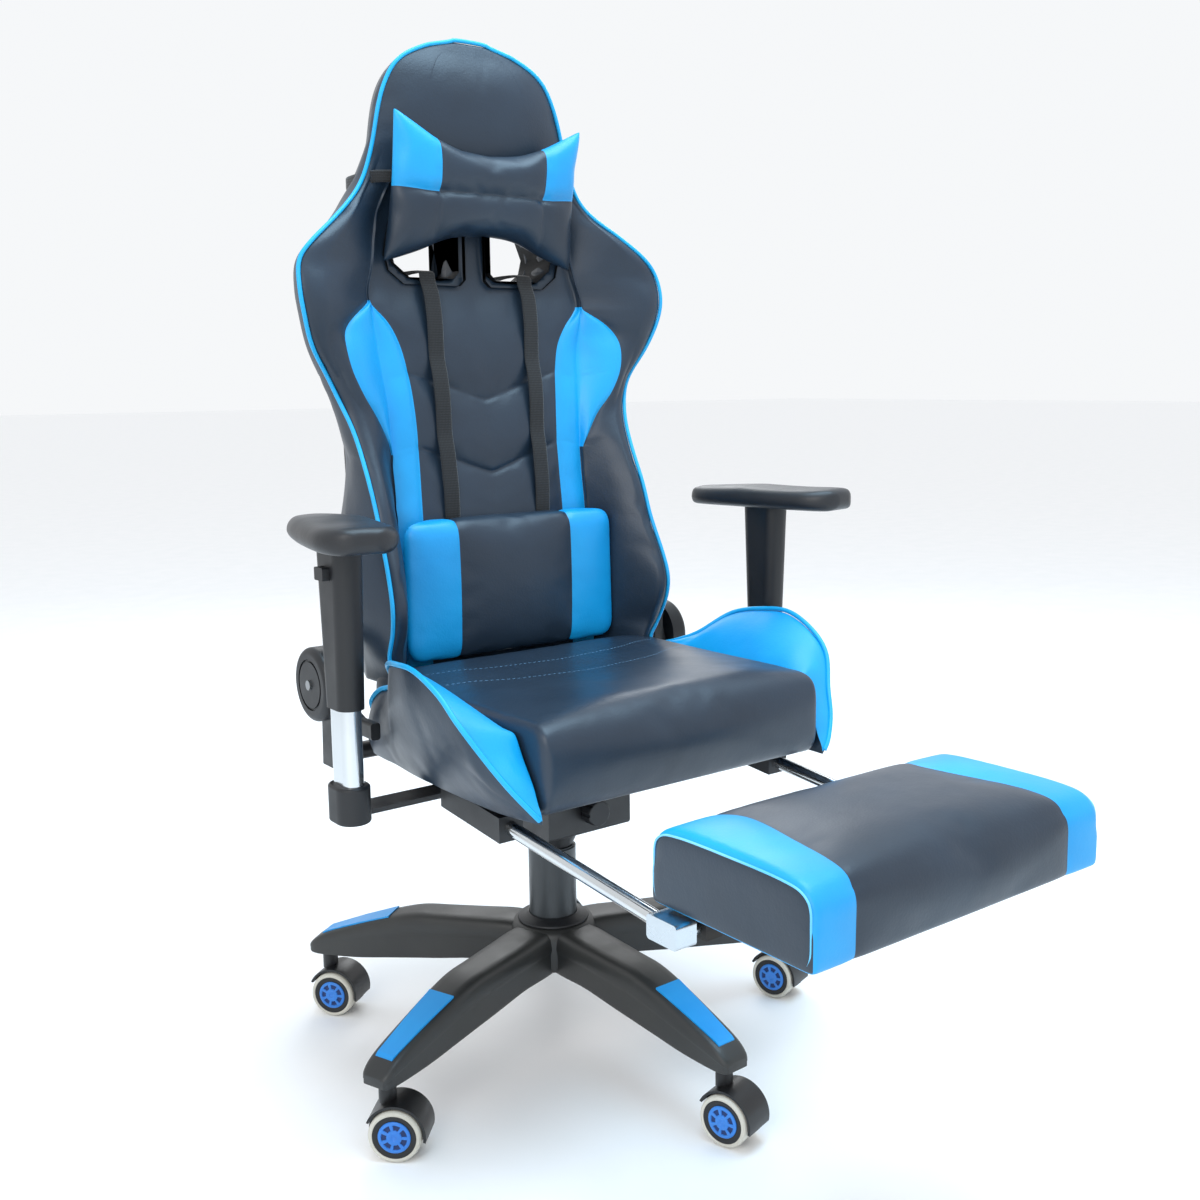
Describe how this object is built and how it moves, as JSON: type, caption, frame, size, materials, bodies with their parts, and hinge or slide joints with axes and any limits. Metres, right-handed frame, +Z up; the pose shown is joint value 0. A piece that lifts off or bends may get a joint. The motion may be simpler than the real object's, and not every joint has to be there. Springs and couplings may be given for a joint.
{
  "type": "gaming chair",
  "caption": "Reclining racing-style gaming chair in black and blue with winged seat, pillows, height-adjustable arms, casters and a pull-out footrest.",
  "frame": {"origin": "on the floor, on the gas lift's axis, with the casters resting on z = 0", "axes": "+Z up, -Y the way the sitter faces, +X the sitter's left"},
  "size_m": [0.7484, 0.9535, 1.269],
  "materials": {
    "nylon_base": "satin",
    "blue_plastic": "gloss",
    "column_steel": "satin",
    "rod_chrome": "polished",
    "cover_plastic": "satin",
    "mech_steel": "powder coated",
    "spring_steel": "plain",
    "hood_plastic": "satin",
    "pin_steel": "plain",
    "wheel_tread": "matte",
    "black_leather": "semi-gloss grained",
    "blue_leather": "semi-gloss grained",
    "arm_plastic": "satin",
    "arm_foam": "satin",
    "strap_web": "woven",
    "board": "plain",
    "cast_chrome": "satin"
  },
  "bodies": {
    "base": {"star_base": "nylon_base", "base_inserts": "blue_plastic", "gas_cylinder": "column_steel", "lift_cover_lower": "cover_plastic"},
    "lift_sleeve": {"lift_cover_upper": "cover_plastic"},
    "mechanism": {"gas_rod": "rod_chrome", "tilt_housing": "mech_steel", "tilt_spring": "spring_steel"},
    "tension_knob": {"tension_knob": "cover_plastic"},
    "height_lever": {"height_lever": "mech_steel"},
    "seat": {"tilt_plate": "mech_steel", "seat_frame": "mech_steel", "seat_cushion": "black_leather", "seat_wing_left": "blue_leather", "seat_wing_right": "blue_leather", "arm_bracket_left": "mech_steel", "arm_bracket_right": "mech_steel", "arm_socket_left": "arm_plastic", "arm_socket_right": "arm_plastic", "arm_post_left": "rod_chrome", "arm_post_right": "rod_chrome", "recliner_plates": "mech_steel", "recliner_cover_left": "cover_plastic", "recliner_cover_right": "cover_plastic", "footrest_guides": "cover_plastic", "fasteners": "pin_steel"},
    "back": {"back_frame": "mech_steel", "back_cushion": "black_leather", "back_shell": "black_leather", "harness_bezels": "cover_plastic", "head_pillow": "black_leather", "head_strap": "strap_web", "lumbar_pillow": "black_leather", "lumbar_straps": "strap_web"},
    "recline_lever": {"recline_lever": "mech_steel"},
    "arm_left": {"arm_sleeve_left": "arm_plastic", "arm_pad_left": "arm_foam"},
    "arm_right": {"arm_sleeve_right": "arm_plastic", "arm_pad_right": "arm_foam"},
    "arm_button_left": {"arm_button_left": "cover_plastic"},
    "arm_button_right": {"arm_button_right": "cover_plastic"},
    "footrest_rails": {"footrest_tubes": "rod_chrome", "footrest_pivot_blocks": "cast_chrome"},
    "footrest": {"footrest_board": "board", "footrest_cushion": "black_leather"},
    "caster_1": {"caster_1_hood": "hood_plastic", "caster_1_pins": "pin_steel"},
    "caster_1_wheel_pair": {"caster_1_wheels": "wheel_tread"},
    "caster_2": {"caster_2_hood": "hood_plastic", "caster_2_pins": "pin_steel"},
    "caster_2_wheel_pair": {"caster_2_wheels": "wheel_tread"},
    "caster_3": {"caster_3_hood": "hood_plastic", "caster_3_pins": "pin_steel"},
    "caster_3_wheel_pair": {"caster_3_wheels": "wheel_tread"},
    "caster_4": {"caster_4_hood": "hood_plastic", "caster_4_pins": "pin_steel"},
    "caster_4_wheel_pair": {"caster_4_wheels": "wheel_tread"},
    "caster_5": {"caster_5_hood": "hood_plastic", "caster_5_pins": "pin_steel"},
    "caster_5_wheel_pair": {"caster_5_wheels": "wheel_tread"}
  },
  "joints": [
    {"name": "lift_slide", "type": "slide", "parent": "base", "child": "lift_sleeve", "axis": [0, 0, 1], "range_m": [0, 0.08]},
    {"name": "seat_swivel", "type": "hinge", "parent": "lift_sleeve", "child": "mechanism", "pos_m": [0, 0, 0.261], "axis": [0, 0, 1], "continuous": true},
    {"name": "tension_knob_turn", "type": "hinge", "parent": "mechanism", "child": "tension_knob", "pos_m": [0, -0.087, 0.326], "axis": [0, -1, 0], "continuous": true},
    {"name": "height_lever_lift", "type": "hinge", "parent": "mechanism", "child": "height_lever", "pos_m": [0.062, 0.03, 0.318], "axis": [0, -1, 0], "range_deg": [0, 8], "stiffness_Nm_per_rad": 4, "springref_deg": -14.32},
    {"name": "tilt", "type": "hinge", "parent": "mechanism", "child": "seat", "pos_m": [0, -0.06, 0.346], "axis": [-1, 0, 0], "range_deg": [0, 10], "stiffness_Nm_per_rad": 220, "springref_deg": -25.78},
    {"name": "recline", "type": "hinge", "parent": "seat", "child": "back", "pos_m": [0, 0.1, 0.492], "axis": [-1, 0, 0], "range_deg": [0, 58]},
    {"name": "recline_lever_lift", "type": "hinge", "parent": "seat", "child": "recline_lever", "pos_m": [-0.246, 0.1, 0.492], "axis": [-1, 0, 0], "range_deg": [0, 20], "stiffness_Nm_per_rad": 2.5, "springref_deg": -20.05},
    {"name": "arm_height_left", "type": "slide", "parent": "seat", "child": "arm_left", "axis": [0, 0, 1], "range_m": [-0.07, 0]},
    {"name": "arm_button_left_press", "type": "slide", "parent": "arm_left", "child": "arm_button_left", "axis": [-1, 0, 0], "range_m": [0, 0.003], "stiffness_N_per_m": 800, "springref_m": -0.002},
    {"name": "arm_height_right", "type": "slide", "parent": "seat", "child": "arm_right", "axis": [0, 0, 1], "range_m": [-0.07, 0]},
    {"name": "arm_button_right_press", "type": "slide", "parent": "arm_right", "child": "arm_button_right", "axis": [1, 0, 0], "range_m": [0, 0.003], "stiffness_N_per_m": 800, "springref_m": -0.002},
    {"name": "footrest_slide", "type": "slide", "parent": "seat", "child": "footrest_rails", "axis": [0, 0.996, 0.0889], "range_m": [0, 0.2]},
    {"name": "footrest_flip", "type": "hinge", "parent": "footrest_rails", "child": "footrest", "pos_m": [0, -0.488, 0.35145], "axis": [1, 0, 0], "range_deg": [0, 180.5]},
    {"name": "caster_1_swivel", "type": "hinge", "parent": "base", "child": "caster_1", "pos_m": [-0.19701, 0.25216, 0.085], "axis": [0, 0, 1], "continuous": true},
    {"name": "caster_1_roll", "type": "hinge", "parent": "caster_1", "child": "caster_1_wheel_pair", "pos_m": [-0.18979, 0.24258, 0.03], "axis": [0.7986, 0.6018, 0], "continuous": true},
    {"name": "caster_2_swivel", "type": "hinge", "parent": "base", "child": "caster_2", "pos_m": [-0.3007, -0.10945, 0.085], "axis": [0, 0, 1], "continuous": true},
    {"name": "caster_2_roll", "type": "hinge", "parent": "caster_2", "child": "caster_2_wheel_pair", "pos_m": [-0.29192, -0.11763, 0.03], "axis": [0.682, 0.7314, 0], "continuous": true},
    {"name": "caster_3_swivel", "type": "hinge", "parent": "base", "child": "caster_3", "pos_m": [0.01117, -0.31981, 0.085], "axis": [0, 0, 1], "continuous": true},
    {"name": "caster_3_roll", "type": "hinge", "parent": "caster_3", "child": "caster_3_wheel_pair", "pos_m": [0.01448, -0.33134, 0.03], "axis": [0.9613, 0.2756, 0], "continuous": true},
    {"name": "caster_4_swivel", "type": "hinge", "parent": "base", "child": "caster_4", "pos_m": [0.3076, -0.0882, 0.085], "axis": [0, 0, 1], "continuous": true},
    {"name": "caster_4_roll", "type": "hinge", "parent": "caster_4", "child": "caster_4_wheel_pair", "pos_m": [0.31131, -0.09962, 0.03], "axis": [0.9511, 0.309, 0], "continuous": true},
    {"name": "caster_5_swivel", "type": "hinge", "parent": "base", "child": "caster_5", "pos_m": [0.17894, 0.26529, 0.085], "axis": [0, 0, 1], "continuous": true},
    {"name": "caster_5_roll", "type": "hinge", "parent": "caster_5", "child": "caster_5_wheel_pair", "pos_m": [0.19022, 0.26119, 0.03], "axis": [0.342, 0.9397, 0], "continuous": true}
  ],
  "couplings": [
    {"joint": "footrest_flip", "follows": "footrest_slide", "rad_per_m": 15.708}
  ]
}
